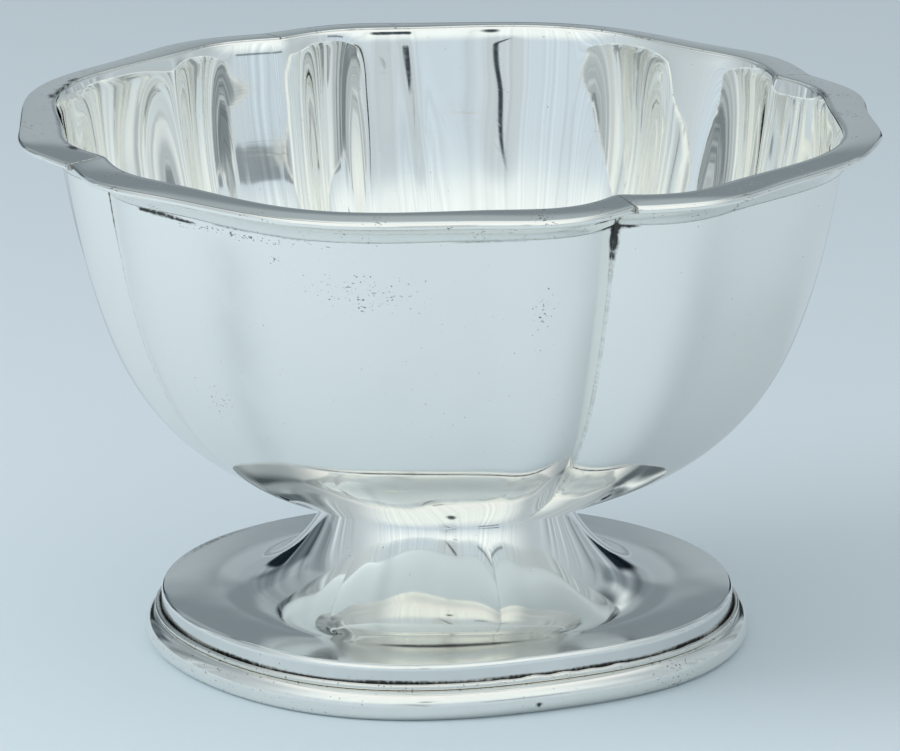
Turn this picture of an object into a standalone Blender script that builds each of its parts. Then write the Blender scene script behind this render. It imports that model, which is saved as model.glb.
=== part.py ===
"""Footed waste bowl in polished silver.

A raised bowl of four lobed quarters, parted by sharp creases, carries a rim moulding that is mitred
at the creases. It stands on a hollow trumpet stem that spreads into a flat round foot, whose
turned-down edge is wrapped by a fillet wire and a half-round base bead.

Lengths are metres and +Z is up. The origin is on the axis, on the table. A lobe's crest faces -Y.
"""
import math

import bmesh
import bpy

# Driving sizes of the bowl.
BOWL_RADIUS = 0.0653        # axis to the outside of the wall at a lobe's crest, below the lip
BOWL_DEPTH = 0.0651         # top of the rim to the underside at the axis
BOWL_WALL = 0.0010          # sheet thickness
LIP_FLARE = 0.0015          # how far the lip leans out
LIP_HEIGHT = 0.0100         # height of the leaning lip
WALL_FULLNESS = 2.35        # exponent of the wall's curve: 2 is an ellipse, more is fuller

# Driving sizes of the lobing, as shares of the radius at the same height.
SIDES = ("front", "right", "back", "left")   # one lobed quarter each
VALLEY_ANGLE = math.radians(21.0)   # crest of a lobe to the soft valley beside it
VALLEY_DEPTH = 0.048                # soft valley below the crest
SIDE_SWELL = 0.014                  # swell between the soft valley and the crease
CREASE_DEPTH = 0.100                # sharp crease below the crest
CREASE_SHARPNESS = 4                # how late the wall turns in towards the crease
LOBE_FADE = 4                       # how late the lobing dies out towards the stem

# Driving sizes of the rim moulding.
RIM_OVERHANG = 0.0036       # outer ridge beyond the wall at a lobe's crest
RIM_DEPTH = 0.0049          # top of the rim to the moulding's lower edge
RIM_EASE = 0.30             # share of the lobing that the ridge smooths away
RIM_TOP_FALL = 0.0003       # fall of the moulding's top towards the ridge
RIDGE_RADIUS = 0.0009       # rounding of the outer ridge
RIDGE_TURN = math.radians(135.0)   # how far that rounding turns, from the top to the underside
RIM_EDGE = 0.0006           # thickness of the moulding's lower edge
COVE_HOLLOW = 0.0005        # hollow of the underside below the ridge

# Driving sizes of the pedestal.
STEM_RADIUS = 0.0198        # outside of the stem under the bowl
STEM_RISE = 0.0140          # top of the plate to the seat of the bowl
FLARE_RUN = 0.0165          # radial reach of the trumpet's curve
PLATE_WIDTH = 0.0088        # flat ring between the trumpet and the rounded edge
PLATE_FALL = 0.0004         # fall of the plate towards its edge
SHOULDER_RADIUS = 0.0015    # rounding of the plate's edge
FOOT_WALL = 0.0009          # sheet thickness
LEAST_CORNER = 0.0001       # least rounding inside the plate's edge, however thick the sheet
BAND_SHOWING = 0.0020       # upright band between the shoulder and the fillet wire

# Driving sizes of the base moulding.
BEAD_WIDTH = 0.0023         # half-round bead, from the band outwards
BEAD_HEIGHT = 0.0046
BEAD_FLAT = 0.0010          # worn flat that stands on the table
FILLET_WIDTH = 0.0008
FILLET_HEIGHT = 0.0006

CLEARANCE = 0.0003          # solder gap between pieces that touch

# Resolution of the curved surfaces.
STEPS_PER_QUARTER = 20
WALL_STEPS = 12
LIP_STEPS = 3
ROUND_STEPS = 72
TRUMPET_STEPS = 8
ARC_STEPS = 4

SILVER = (0.93, 0.92, 0.90)

QUARTER_ANGLE = 2.0 * math.pi / len(SIDES)
HALF_QUARTER = QUARTER_ANGLE / 2.0

# Sizes that follow from the driving ones, from the table upwards.
FOOT_RADIUS = STEM_RADIUS + FLARE_RUN + PLATE_WIDTH + SHOULDER_RADIUS
FILLET_BASE = BEAD_HEIGHT + CLEARANCE
SHOULDER_BASE = FILLET_BASE + FILLET_HEIGHT + BAND_SHOWING
PLATE_EDGE_TOP = SHOULDER_BASE + SHOULDER_RADIUS
PLATE_TOP = PLATE_EDGE_TOP + PLATE_FALL
SEAT_HEIGHT = PLATE_TOP + STEM_RISE


def clear_scene():
    """Remove what the scene holds, so that the model stands alone."""
    for item in list(bpy.data.objects):
        bpy.data.objects.remove(item, do_unlink=True)


def silver(name, roughness):
    """Polished silver of one piece."""
    material = bpy.data.materials.new(name)
    material.use_nodes = True
    shader = material.node_tree.nodes["Principled BSDF"]
    shader.inputs["Base Color"].default_value = (*SILVER, 1.0)
    shader.inputs["Metallic"].default_value = 1.0
    shader.inputs["Roughness"].default_value = roughness
    return material


def add_piece(name, mesh, roughness, parent):
    """Put a finished mesh into the scene as one named piece."""
    piece = bpy.data.objects.new(name, mesh)
    bpy.context.scene.collection.objects.link(piece)
    piece.parent = parent
    mesh.materials.append(silver(name + "_silver", roughness))
    return piece


def shade(mesh, sharp_angle=math.radians(35.0)):
    """Smooth shading, with edges kept where the surface turns sharply."""
    mesh.shade_smooth()
    mesh.set_sharp_from_angle(angle=sharp_angle)


def polar(radius, angle, height):
    """A point at an angle from -Y, counted towards +X."""
    return (radius * math.sin(angle), -radius * math.cos(angle), height)


def lobing(angle):
    """How far the plan stands below the crest, as a share of the radius.

    The crest of a lobe gives 0. A squared sine falls to the soft valley, a second one lifts the side
    swell, and a power curve turns in to the crease at the end of the quarter.
    """
    from_crest = abs((angle + HALF_QUARTER) % QUARTER_ANGLE - HALF_QUARTER)
    if from_crest <= VALLEY_ANGLE:
        return VALLEY_DEPTH * math.sin(0.5 * math.pi * from_crest / VALLEY_ANGLE) ** 2
    along = (from_crest - VALLEY_ANGLE) / (HALF_QUARTER - VALLEY_ANGLE)
    turn_in = (CREASE_DEPTH - VALLEY_DEPTH) * along ** CREASE_SHARPNESS
    return VALLEY_DEPTH + turn_in - SIDE_SWELL * math.sin(math.pi * along) ** 2


def wall_drop(radius):
    """Fall from the rim to the outside of the wall where it has this radius, on a crest."""
    return BOWL_DEPTH * (1.0 - (radius / BOWL_RADIUS) ** WALL_FULLNESS) ** (1.0 / WALL_FULLNESS)


RIM_TOP = SEAT_HEIGHT + CLEARANCE + wall_drop(STEM_RADIUS)


def wall_radius(drop, wall=0.0):
    """Crest radius at a drop below the rim, that far inside the wall, with the lip leaning out."""
    fall = drop / (BOWL_DEPTH - wall)
    reach = (1.0 - fall ** WALL_FULLNESS) ** (1.0 / WALL_FULLNESS)
    lean = max(0.0, 1.0 - drop / LIP_HEIGHT) ** 2
    return (BOWL_RADIUS - wall) * reach + LIP_FLARE * lean


def lobe_share(radius):
    """Strength of the lobing: none over the stem, full towards the rim."""
    along = max(0.0, radius - STEM_RADIUS) / (BOWL_RADIUS - STEM_RADIUS)
    return 1.0 - max(0.0, 1.0 - along) ** LOBE_FADE


def lobed_radius(radius, share, angle):
    """Radius at an angle on a ring whose crest radius is given."""
    return radius * (1.0 - share * lobing(angle))


def skin(name, loops, tips=None):
    """Mesh over a row of closed loops, ended by two tip points or by two flat caps."""
    builder = bmesh.new()
    rows = [[builder.verts.new(point) for point in loop] for loop in loops]
    count = len(rows[0])
    for row, following in zip(rows, rows[1:]):
        for index in range(count):
            beside = (index + 1) % count
            builder.faces.new((row[index], row[beside], following[beside], following[index]))
    for row, side in ((rows[0], 0), (rows[-1], 1)):
        if tips is None:
            builder.faces.new(row)
            continue
        tip = builder.verts.new(tips[side])
        for index in range(count):
            builder.faces.new((row[index], row[(index + 1) % count], tip))
    bmesh.ops.recalc_face_normals(builder, faces=builder.faces)
    bmesh.ops.triangulate(builder, faces=builder.faces)
    mesh = bpy.data.meshes.new(name)
    builder.to_mesh(mesh)
    builder.free()
    shade(mesh)
    return mesh


def wall_falls():
    """Heights of the wall's rings, as shares of the depth: even turns up the curve, then the lip."""
    lip = LIP_HEIGHT / BOWL_DEPTH
    turns = [0.5 * math.pi * step / WALL_STEPS for step in range(1, WALL_STEPS)]
    falls = [math.cos(turn) ** (2.0 / WALL_FULLNESS) for turn in turns]
    curve = [fall for fall in falls if fall > lip]
    return curve + [lip * (1.0 - step / LIP_STEPS) for step in range(LIP_STEPS + 1)]


def bowl_body(parent):
    """The raised bowl: its outside from the underside up, then its inside down to the floor."""
    ring_count = len(SIDES) * STEPS_PER_QUARTER
    angles = [QUARTER_ANGLE * step / STEPS_PER_QUARTER for step in range(ring_count)]
    outside = []
    inside = []
    for fall in wall_falls():
        share = lobe_share(wall_radius(BOWL_DEPTH * fall))
        for wall, rings in ((0.0, outside), (BOWL_WALL, inside)):
            drop = (BOWL_DEPTH - wall) * fall
            crest = wall_radius(drop, wall)
            rings.append([polar(lobed_radius(crest, share, angle), angle, RIM_TOP - drop)
                          for angle in angles])
    floor = RIM_TOP - BOWL_DEPTH
    tips = ((0.0, 0.0, floor), (0.0, 0.0, floor + BOWL_WALL))
    mesh = skin("bowl_body", outside + inside[::-1], tips)
    return add_piece("bowl_body", mesh, 0.08, parent)


def rim_section(angle, crease_gap):
    """Section of the rim moulding at an angle, pulled back from the crease by a gap.

    It runs from the wall along the top, round the outer ridge, up the hollow underside and back to
    the lower edge on the wall.
    """
    top_crest = wall_radius(0.0)
    edge_crest = wall_radius(RIM_DEPTH)
    eased = (1.0 - RIM_EASE) * lobing(angle)
    ridge = top_crest * (1.0 - eased) + CLEARANCE + RIM_OVERHANG
    wall_top = lobed_radius(top_crest, lobe_share(top_crest), angle) + CLEARANCE
    wall_edge = lobed_radius(edge_crest, lobe_share(edge_crest), angle) + CLEARANCE
    centre = (ridge - RIDGE_RADIUS, RIM_TOP_FALL + RIDGE_RADIUS)
    section = [(wall_top, 0.0)]
    for step in range(ARC_STEPS + 1):
        turn = 0.5 * math.pi - RIDGE_TURN * step / ARC_STEPS
        section.append((centre[0] + RIDGE_RADIUS * math.cos(turn),
                        centre[1] - RIDGE_RADIUS * math.sin(turn)))
    under = section[-1]
    edge = (wall_edge + RIM_EDGE, RIM_DEPTH)
    section.append((0.5 * (under[0] + edge[0]) - COVE_HOLLOW, 0.5 * (under[1] + edge[1]) - COVE_HOLLOW))
    section.append(edge)
    section.append((wall_edge, RIM_DEPTH))
    return [polar(radius, angle - crease_gap / radius, RIM_TOP - drop) for radius, drop in section]


def rim_wires(parent):
    """Four lengths of rim moulding, one over each lobe, mitred at the creases."""
    for quarter, side in enumerate(SIDES):
        start = QUARTER_ANGLE * quarter - HALF_QUARTER
        loops = []
        for step in range(STEPS_PER_QUARTER + 1):
            gap = 0.0
            if step == 0:
                gap = -0.5 * CLEARANCE
            if step == STEPS_PER_QUARTER:
                gap = 0.5 * CLEARANCE
            loops.append(rim_section(start + QUARTER_ANGLE * step / STEPS_PER_QUARTER, gap))
        name = "rim_wire_" + side
        add_piece(name, skin(name, loops), 0.10, parent)


def turned(name, profile, roughness, parent):
    """A closed profile of (radius, height) points turned about the axis."""
    mesh = bpy.data.meshes.new(name)
    edges = [(index, (index + 1) % len(profile)) for index in range(len(profile))]
    mesh.from_pydata([(radius, 0.0, height) for radius, height in profile], edges, [])
    piece = add_piece(name, mesh, roughness, parent)
    screw = piece.modifiers.new("turning", "SCREW")
    screw.axis = "Z"
    screw.angle = 2.0 * math.pi
    screw.steps = ROUND_STEPS
    screw.render_steps = ROUND_STEPS
    screw.use_merge_vertices = True
    screw.merge_threshold = 0.00001
    screw.use_smooth_shade = True
    return piece


def pedestal(parent):
    """The spun stem, plate and turned-down edge: its outside from the top down, then its inside."""
    outside = [(STEM_RADIUS, SEAT_HEIGHT)]
    for step in range(1, TRUMPET_STEPS + 1):
        turn = 0.5 * math.pi * step / TRUMPET_STEPS
        outside.append((STEM_RADIUS + FLARE_RUN * (1.0 - math.cos(turn)),
                        SEAT_HEIGHT - STEM_RISE * math.sin(turn)))
    for step in range(ARC_STEPS + 1):
        turn = 0.5 * math.pi * (1.0 - step / ARC_STEPS)
        outside.append((FOOT_RADIUS - SHOULDER_RADIUS * (1.0 - math.cos(turn)),
                        SHOULDER_BASE + SHOULDER_RADIUS * math.sin(turn)))
    outside.append((FOOT_RADIUS, CLEARANCE))

    inner_stem = STEM_RADIUS - FOOT_WALL
    inner_band = FOOT_RADIUS - FOOT_WALL
    ceiling = PLATE_EDGE_TOP - FOOT_WALL
    corner = max(SHOULDER_RADIUS - FOOT_WALL, LEAST_CORNER)
    inside = [(inner_band, CLEARANCE)]
    for step in range(ARC_STEPS + 1):
        turn = 0.5 * math.pi * step / ARC_STEPS
        inside.append((inner_band - corner * (1.0 - math.cos(turn)),
                       ceiling - corner * (1.0 - math.sin(turn))))
    for step in range(TRUMPET_STEPS):
        turn = 0.5 * math.pi * (1.0 - step / TRUMPET_STEPS)
        inside.append((inner_stem + (FLARE_RUN + FOOT_WALL) * (1.0 - math.cos(turn)),
                       SEAT_HEIGHT - (STEM_RISE + FOOT_WALL) * math.sin(turn)))
    seat_fall = wall_drop(inner_stem) - wall_drop(STEM_RADIUS)
    inside.append((inner_stem, SEAT_HEIGHT - seat_fall))
    return turned("pedestal", outside + inside, 0.09, parent)


def fillet_wire(parent):
    """The thin wire that lies on the bead, against the band."""
    inner = FOOT_RADIUS + CLEARANCE
    outer = inner + FILLET_WIDTH
    top = FILLET_BASE + FILLET_HEIGHT
    rounding = 0.5 * FILLET_HEIGHT
    profile = [(inner, top), (outer - rounding, top), (outer, FILLET_BASE + rounding),
               (outer - rounding, FILLET_BASE), (inner, FILLET_BASE)]
    return turned("fillet_wire", profile, 0.14, parent)


def base_bead(parent):
    """The half-round bead wrapped round the band, with the flat that it stands on."""
    inner = FOOT_RADIUS + CLEARANCE
    profile = [(inner, BEAD_HEIGHT)]
    flat_reach = BEAD_FLAT / BEAD_WIDTH
    lowest = math.acos(flat_reach)
    bulge_height = BEAD_HEIGHT / (1.0 + math.sin(lowest))
    for step in range(1, 2 * ARC_STEPS + 1):
        turn = 0.5 * math.pi - (0.5 * math.pi + lowest) * step / (2 * ARC_STEPS)
        profile.append((inner + BEAD_WIDTH * math.cos(turn),
                        BEAD_HEIGHT - bulge_height * (1.0 - math.sin(turn))))
    profile.append((inner, 0.0))
    return turned("base_bead", profile, 0.10, parent)


def build():
    """Put the whole bowl together on one empty."""
    clear_scene()
    bowl = bpy.data.objects.new("waste_bowl", None)
    bpy.context.scene.collection.objects.link(bowl)
    bowl_body(bowl)
    rim_wires(bowl)
    pedestal(bowl)
    fillet_wire(bowl)
    base_bead(bowl)


build()
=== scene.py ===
"""A silver waste bowl: four lobed quarters under a mitred rim moulding, on a hollow trumpet foot.

Lengths are metres and +Z is up. Angles are counted from -Y, where a lobe's crest faces, towards +X.
Places are given in degrees and as drops below the rim's top.
"""
import math

import bpy
import numpy as np
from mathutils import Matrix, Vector


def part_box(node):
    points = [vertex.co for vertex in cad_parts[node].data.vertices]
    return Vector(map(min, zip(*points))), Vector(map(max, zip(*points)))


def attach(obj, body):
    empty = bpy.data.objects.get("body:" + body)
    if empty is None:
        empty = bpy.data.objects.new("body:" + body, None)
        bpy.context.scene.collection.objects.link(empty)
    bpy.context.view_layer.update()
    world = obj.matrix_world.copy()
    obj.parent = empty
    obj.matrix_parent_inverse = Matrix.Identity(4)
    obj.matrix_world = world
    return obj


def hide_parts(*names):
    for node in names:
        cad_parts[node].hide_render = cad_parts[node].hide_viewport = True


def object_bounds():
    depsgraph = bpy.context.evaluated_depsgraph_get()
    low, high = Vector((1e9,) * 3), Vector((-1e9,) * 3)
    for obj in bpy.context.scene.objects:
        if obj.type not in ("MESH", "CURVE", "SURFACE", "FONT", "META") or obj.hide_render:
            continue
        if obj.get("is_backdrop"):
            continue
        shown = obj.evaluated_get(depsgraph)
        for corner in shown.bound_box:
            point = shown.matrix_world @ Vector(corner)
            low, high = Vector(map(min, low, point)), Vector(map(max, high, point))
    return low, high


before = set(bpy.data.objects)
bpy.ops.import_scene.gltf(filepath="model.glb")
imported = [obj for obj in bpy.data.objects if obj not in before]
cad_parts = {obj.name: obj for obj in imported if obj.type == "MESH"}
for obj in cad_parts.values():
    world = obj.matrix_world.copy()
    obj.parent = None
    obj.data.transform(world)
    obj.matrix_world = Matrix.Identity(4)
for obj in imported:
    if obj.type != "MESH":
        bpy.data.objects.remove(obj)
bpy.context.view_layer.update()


# The bowl: one sheet of sterling silver, raised with a hammer over a lobed stake into four quarters
# that meet in sharp creases, then planished and polished. Its lip leans out under the rim moulding,
# and tarnish has stayed in the creases, along the moulding and in a gouge below it.

# The wall's curve and its lip.
bowl_low, bowl_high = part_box("bowl_body")
RIM_TOP = bowl_high.z
BOWL_DEPTH = bowl_high.z - bowl_low.z
BOWL_RADIUS = 0.0659                # outside of the wall at a crest, below the lip
BOWL_WALL = 0.0010
WALL_FULLNESS = 2.35                # exponent of the wall's curve; 2 would be an ellipse
LIP_FLARE = 0.0009                  # how far the lip leans out, on its outer face
LIP_HEIGHT = 0.0050                 # height over which it leans
LIP_FLARE_INSIDE = 0.0005
LIP_HEIGHT_INSIDE = 0.0028
LIP_SINK = 0.00030                  # top of the sheet below the rim's flange
STEM_RADIUS = 0.0198

# Lobes, valleys and creases; their depths are shares of the radius.
QUARTER = 0.5 * math.pi
LOBE_FADE = 4                       # how late the lobing dies out towards the stem
VALLEY_ANGLE = math.radians(24.0)   # crest of a lobe to the soft valley beside it
VALLEY_DEPTH = 0.048
SIDE_SWELL = 0.014
CREASE_DEPTHS = np.array([0.112, 0.075, 0.068, 0.072])  # from the front right one, to the right
CREASE_SHARPNESS = 4
INNER_BEND = 1.3                    # degrees over which the creases are rounded inside
BEND_STEPS = (-1.0, -0.5, 0.0, 0.5, 1.0)

# What hand work left in the wall: it draws in below the rim and comes out again lower down.
TAPER = 0.0020                      # how far it draws in, at most
TAPER_DROP = 0.024                  # drop at which it has drawn in so far
TAPER_BACK_FROM = 0.026
TAPER_BACK_TO = 0.060
# Places that stay steep, with their half widths, then places that draw in more, and by how much.
STEEP = ((169.5, 6.0), (143.9, 5.9), (216.5, 4.0), (239.7, 4.3), (257.0, 9.0), (115.0, 8.0))
LEANING = ((156.0, 6.0, 0.7),)
# Soft folds: angle at the rim, turn in degrees per metre down, width, depth, and its growth per metre.
FOLDS = ((204.5, -85.0, 1.7, -0.000074, 75.0),)
UNEVEN = ((3, 0.024, 0.00003), (4, 0.011, 0.000007))  # hammered waves: seed, length and size
UNEVEN_FROM = 0.005
UNEVEN_FULL = 0.014
WAVE_REACH = 0.06                   # radius at which waves have their length
WAVE_COUNT = 24

# The mesh.
BOWL_COLUMNS = 128                  # steps across one quarter
CREASE_CROWDING = 1.4               # how much closer they stand towards the creases
BOWL_ROWS = 66                      # steps of the curve from the underside to the rim
CAP_SHARE = 0.004                   # share of the curve that the flat cap underneath takes
LIP_ROWS = 32
LIP_SHARE = 0.16                    # share of the depth that has the lip's finer rows

# Polished silver, its wear and painted shade; noise scales and stretches are waves per metre.
SILVER = (0.955, 0.945, 0.912)
FILM_AND_SHADE_COLOUR = (0.70, 0.71, 0.70)
PIT_COLOUR = (0.15, 0.145, 0.14)
TARNISH_COLOUR = (0.070, 0.070, 0.068)
BOWL_ROUGHNESS = 0.035
CLOUD_SCALE = 55.0
SPECKLE_SCALE = 1500.0
RUBBED_STRETCH = (60.0, 60.0, 2600.0)
SCRATCH_STRETCH = (90.0, 2400.0, 120.0)
SCRATCH_TURN = (0.5, 0.35, 0.7)
PIT_STRETCH = (1900.0, 1900.0, 3000.0)
RUBBED_RANGE = (0.45, 0.75)         # noise between which each kind of wear, and the painted shade, sets in
SCRATCH_RANGE = (0.68, 0.74)
FILM_AND_SHADE_RANGE = (0.15, 0.60)
CLOUD_RANGE = (0.55, 0.80)
TARNISH_RANGE = (0.12, 0.75)
PIT_RANGE = (0.735, 0.78)
CLOUD_FILM = 0.10                   # film in the clouds of the polish, everywhere
TARNISH_BREAK = 1.8                 # how much speckle breaks up the tarnish
PIT_GAIN = 0.24                     # how much the pits' layer adds to their noise
PIT_DARKNESS = 0.85
FILM_DULL = 0.22                    # roughness that each kind of wear adds
RUBBED_DULL = 0.02
SCRATCH_DULL = 0.05
BLACK_DULL = 0.35
RUBBED_HEIGHT = 0.3e-6
SCRATCH_HEIGHT = -0.7e-6
PIT_HEIGHT = -1.2e-5

# Tarnish in each crease: angle, strength under the rim, its reach down and its width there, then strength
# and width below.
CREASE_TARNISH = (
    (45.2, 0.90, 0.0100, 0.00075, 0.30, 0.00030),
    (135.0, 0.5, 0.008, 0.0004, 0.25, 0.0002),
    (-135.0, 0.5, 0.008, 0.0004, 0.25, 0.0002),
    (-45.0, 0.55, 0.012, 0.00035, 0.30, 0.00022),
)
# A thin line of tarnish along the moulding's lower edge.
LINE_SEED = 5
LINE_DROP = 0.0052
LINE_WIDTH = 0.00025
LINE_TARNISH = 0.22
LINE_CHANGE = 0.12                  # how much its strength changes along it
LINE_WAVE = 0.012
# A blot beside the front right crease, right under the moulding.
BLOT_ANGLE = 46.6
BLOT_DROP = 0.0050
BLOT_WIDTH = 0.0013
BLOT_HEIGHT = 0.0005
BLOT_TARNISH = 0.9
# A shallow gouge under the moulding at the front left: where it starts, its length round and its fall.
GOUGE_ANGLE = -33.0
GOUGE_LENGTH = 12.4
GOUGE_DROP = 0.0054
GOUGE_FALL = 0.0006
GOUGE_WIDTH = 0.0003
GOUGE_TARNISH = 0.85
GOUGE_START = (-0.03, 0.05)         # shares of its length over which it begins and ends
GOUGE_END = (1.05, 0.8)
# Where the bowl is pitted: angle, drop, how far round in degrees, how far down, and how much.
PITTED = (
    (7.0, 0.0132, 9.0, 0.0035, 0.55),
    (6.0, 0.0164, 0.9, 0.0006, 1.0),
    (-7.0, 0.0093, 1.5, 0.0008, 0.8),
    (-24.0, 0.0370, 4.0, 0.0035, 0.55),
    (32.0, 0.0175, 2.0, 0.0050, 0.50),
    (-14.0, 0.0062, 14.0, 0.0008, 0.75),
)
PITS_EVERYWHERE = 0.02
# Soft upright bands, most of them in the valleys, painted as greyer and duller silver to stand in for
# darker reflections there: angle, half width and strength.
PAINTED_SHADE_BANDS = (
    (-16.5, 4.5, 0.50),
    (59.5, 4.5, 0.14),
    (24.0, 4.0, 0.08),
    (112.0, 6.0, 0.3),
    (157.0, 6.0, 0.3),
    (-66.0, 6.0, 0.3),
    (-114.0, 6.0, 0.3),
    (-157.0, 6.0, 0.3),
)
PAINTED_SHADE_FROM = 0.004
PAINTED_SHADE_FULL = 0.012
FILM_OUTSIDE = 0.04
FILM_INSIDE = 0.05


def lobing(angle, valley_angle, valley, swell, creases):
    """How far a plan stands below its crests at these angles.

    A squared sine falls from the crest to the soft valley. From there a second squared sine lifts the
    side swell, while a power of the way on to the crease turns the plan in to that crease's depth.
    """
    from_crest = np.abs((angle + 0.5 * QUARTER) % QUARTER - 0.5 * QUARTER)
    crease = np.asarray(creases)[(angle // QUARTER).astype(int) % 4]
    near = valley * np.sin(0.5 * math.pi * np.minimum(from_crest / valley_angle, 1.0)) ** 2
    along = np.maximum(from_crest - valley_angle, 0.0) / (0.5 * QUARTER - valley_angle)
    turned_in = (crease - valley) * along ** CREASE_SHARPNESS
    return near + turned_in - swell * np.sin(math.pi * along) ** 2


def bowl_lobing(angle, bend_degrees=0.0):
    """The bowl's own lobing, as a share of the radius.

    It is the mean over steps of a bend to either side, which rounds the creases.
    """
    total = 0.0
    for step in BEND_STEPS:
        turned = (angle + math.radians(bend_degrees * step)) % (2.0 * math.pi)
        total = total + lobing(turned, VALLEY_ANGLE, VALLEY_DEPTH, SIDE_SWELL, CREASE_DEPTHS)
    return total / len(BEND_STEPS)


def wall_radius(drop, wall=0.0):
    """Crest radius at a drop below the rim: a superellipse, plus a squared lean at the lip."""
    fall = np.clip(drop / (BOWL_DEPTH - wall), 0.0, 1.0)
    reach = (1.0 - fall ** WALL_FULLNESS) ** (1.0 / WALL_FULLNESS)
    flare, tall = (LIP_FLARE_INSIDE, LIP_HEIGHT_INSIDE) if wall else (LIP_FLARE, LIP_HEIGHT)
    return (BOWL_RADIUS - wall) * reach + flare * np.maximum(0.0, 1.0 - drop / tall) ** 2


def lobe_share(radius):
    """Strength of the lobing at a crest radius: none over the stem, full towards the rim, by a power."""
    along = np.maximum(0.0, radius - STEM_RADIUS) / (BOWL_RADIUS - STEM_RADIUS)
    return 1.0 - np.maximum(0.0, 1.0 - along) ** LOBE_FADE


def smooth(value, low, high):
    """Nought at low and one at high, with a smooth slope between; low may be the larger."""
    way = np.clip((value - low) / (high - low), 0.0, 1.0)
    return way * way * (3.0 - 2.0 * way)


def aside(angle, middle):
    """Angle away from a middle given in degrees, by the shorter way round."""
    return (angle - np.radians(middle) + math.pi) % (2.0 * math.pi) - math.pi


def bell(angle, middle, width, power=2):
    """Bell curve round a middle, both in degrees; a higher power gives it a flatter top."""
    return np.exp(-(aside(angle, middle) / math.radians(width)) ** power)


def taper(angle, drop):
    """How far the wall draws in: by a square of the drop, then smoothly out again, plus the folds.

    Flat-topped bells keep the steep places out and draw the leaning ones in. A fold is a bell times
    the way across it, so one side stands proud and the other lies deep.
    """
    steep = np.zeros_like(angle)
    for middle, width in STEEP:
        steep = np.maximum(steep, bell(angle, middle, width, power=4))
    draw = TAPER * (1.0 - steep)
    for middle, width, more in LEANING:
        draw = draw * (1.0 + more * bell(angle, middle, width, power=4))
    depth = 1.0 - np.maximum(0.0, 1.0 - drop / TAPER_DROP) ** 2
    folded = 0.0
    for middle, turn, width, size, growth in FOLDS:
        way = aside(angle, middle + turn * drop) / math.radians(width)
        folded = folded + size * (1.0 + growth * drop) * way * np.exp(-way ** 2)
    return draw * depth * (1.0 - smooth(drop, TAPER_BACK_FROM, TAPER_BACK_TO)) + folded


def waves(seed, angle, height, length, size, reach=WAVE_REACH):
    """Unevenness left by hand work: sine waves of one length in fixed random directions, added up.

    size is the root mean square of the sum; reach is the radius at which the waves have that length.
    """
    chance = np.random.default_rng(seed)
    number = 2.0 * math.pi / length
    most = int(number * reach)
    turns_around = chance.integers(-most, most + 1, WAVE_COUNT)
    starts = chance.uniform(0.0, 2.0 * math.pi, WAVE_COUNT)
    total = 0.0
    for around, start in zip(turns_around, starts):
        upward = math.sqrt(max(0.0, number ** 2 - (around / reach) ** 2))
        total = total + np.sin(around * angle + upward * height + start)
    return size * math.sqrt(2.0 / WAVE_COUNT) * total


def wall_face(angle, drop, wall=0.0):
    """Radius of the bowl's outer or inner face: the lobed curve, drawn in, and uneven below the lip."""
    share = lobe_share(wall_radius(drop, 0.0))
    uneven = sum(waves(seed, angle, drop, length, size) for seed, length, size in UNEVEN)
    rounded = bowl_lobing(angle, INNER_BEND if wall else 0.0)
    radius = wall_radius(drop, wall) * (1.0 - share * rounded) - taper(angle, drop)
    return radius + uneven * share * smooth(drop, UNEVEN_FROM, UNEVEN_FULL)


def quarter_angles(steps):
    """Angles once round, closer together towards the creases by a power of the way from the crest."""
    way = np.linspace(0.0, 1.0, steps // 2 + 1)
    half = 0.5 * QUARTER * (1.0 - (1.0 - way) ** CREASE_CROWDING)
    quarter = np.concatenate([half, QUARTER - half[-2::-1]])[:-1]
    return np.concatenate([quarter + QUARTER * side for side in range(4)])


def polar(radius, angle, height):
    """Points from radius, angle and height arrays, stacked on a last axis of x, y, z."""
    radius, angle, height = np.broadcast_arrays(radius, angle, height)
    return np.stack([radius * np.sin(angle), -radius * np.cos(angle), height], axis=-1)


def grid_piece(name, points, closed_rows=False, closed_columns=True, capped=False, layers=None):
    """A named object over a grid of points, with rows along the first axis.

    Each cell of the grid is one quad. A closed direction joins its last line to its first. Capped
    rows end in a flat polygon each. The UV map runs once along each direction of the grid. Each of the
    layers is a value per point, kept on the mesh under its name for the material.
    """
    rows, columns = points.shape[:2]
    row_cells = rows if closed_rows else rows - 1
    column_cells = columns if closed_columns else columns - 1
    row, column = np.meshgrid(np.arange(row_cells), np.arange(column_cells), indexing="ij")
    corners = [(row, column), (row, column + 1), (row + 1, column + 1), (row + 1, column)]
    quads = np.stack([r % rows * columns + c % columns for r, c in corners], axis=-1)
    faces = quads.reshape(-1, 4).tolist()
    across = np.stack([c / column_cells for r, c in corners], axis=-1)
    upward = np.stack([r / row_cells for r, c in corners], axis=-1)
    spread = np.stack([across, upward], axis=-1).reshape(-1)
    if capped:
        ends = np.arange(columns)
        faces += [ends[::-1].tolist(), (ends + (rows - 1) * columns).tolist()]
        spread = np.concatenate([spread, np.zeros(4 * columns)])
    mesh = bpy.data.meshes.new(name)
    mesh.from_pydata(points.reshape(-1, 3).tolist(), [], faces)
    mesh.uv_layers.new(name="UVMap").data.foreach_set("uv", spread.astype(np.float32))
    for layer_name, values in (layers or {}).items():
        values = np.broadcast_to(np.clip(values, 0.0, 1.0), (rows, columns)).astype(np.float32)
        mesh.attributes.new(layer_name, "FLOAT", "POINT").data.foreach_set("value", values.ravel())
    mesh.shade_smooth()
    piece = bpy.data.objects.new(name, mesh)
    bpy.context.scene.collection.objects.link(piece)
    return piece


def math_node(tree, operation, *values):
    """A math node fed by numbers or sockets; gives its result socket."""
    node = tree.nodes.new("ShaderNodeMath")
    node.operation = operation
    for socket, value in zip(node.inputs, values):
        if isinstance(value, (int, float)):
            socket.default_value = value
        else:
            tree.links.new(value, socket)
    return node.outputs[0]


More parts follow.
